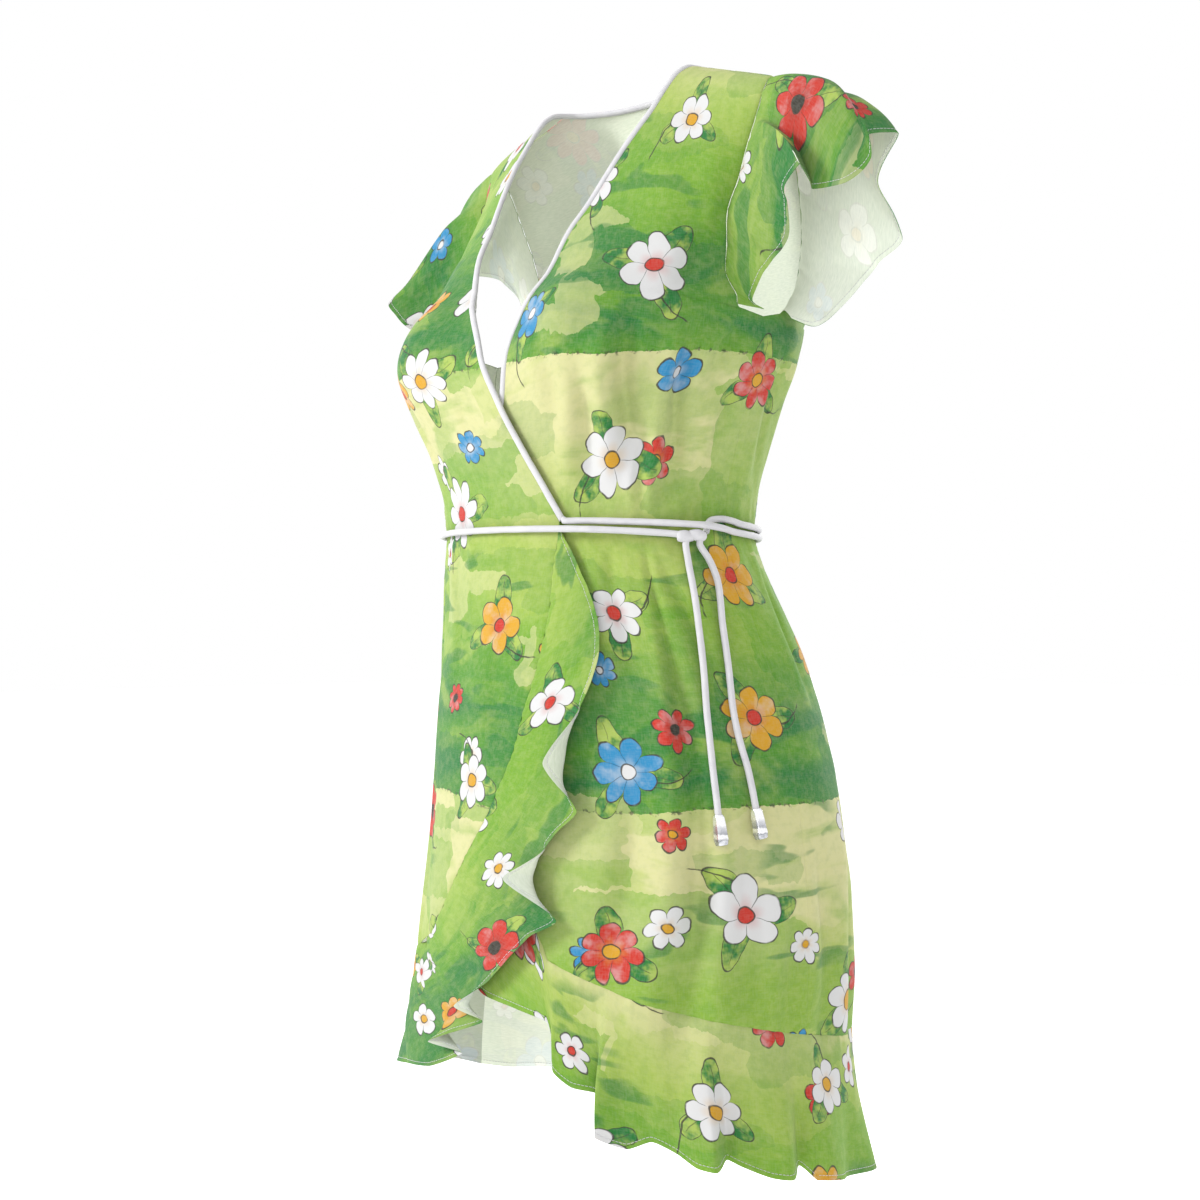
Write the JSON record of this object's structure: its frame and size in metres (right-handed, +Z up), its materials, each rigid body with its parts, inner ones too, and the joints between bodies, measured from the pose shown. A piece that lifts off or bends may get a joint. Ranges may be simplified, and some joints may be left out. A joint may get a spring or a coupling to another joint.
{
  "type": "tea dress",
  "caption": "Short wrap tea dress in its worn shape: V neck with round piping, flutter sleeves, ruffled wrap edge and hem, and a cord tied at the waist.",
  "frame": {"origin": "midway between the neck ends of the two shoulder seams, where the dress is held", "axes": "+Z up, the front faces -Y, +X is the wearer's left"},
  "size_m": [0.522, 0.3656, 0.8592],
  "materials": {
    "printed_cloth": "smooth woven crepe with a matte print",
    "white_cord": "matte woven binding and cord",
    "cord_end": "bright silvered"
  },
  "bodies": {
    "root": {"front_right": "printed_cloth", "front_left": "printed_cloth", "back": "printed_cloth", "flounce_right": "printed_cloth", "flounce_left": "printed_cloth", "flounce_back": "printed_cloth", "sleeve_left": "printed_cloth", "sleeve_right": "printed_cloth", "piping": "white_cord", "tie_right": "white_cord", "tie_left": "white_cord", "knot": "white_cord", "tail_front": "white_cord", "tail_back": "white_cord", "tip_front": "cord_end", "tip_back": "cord_end"}
  },
  "joints": []
}
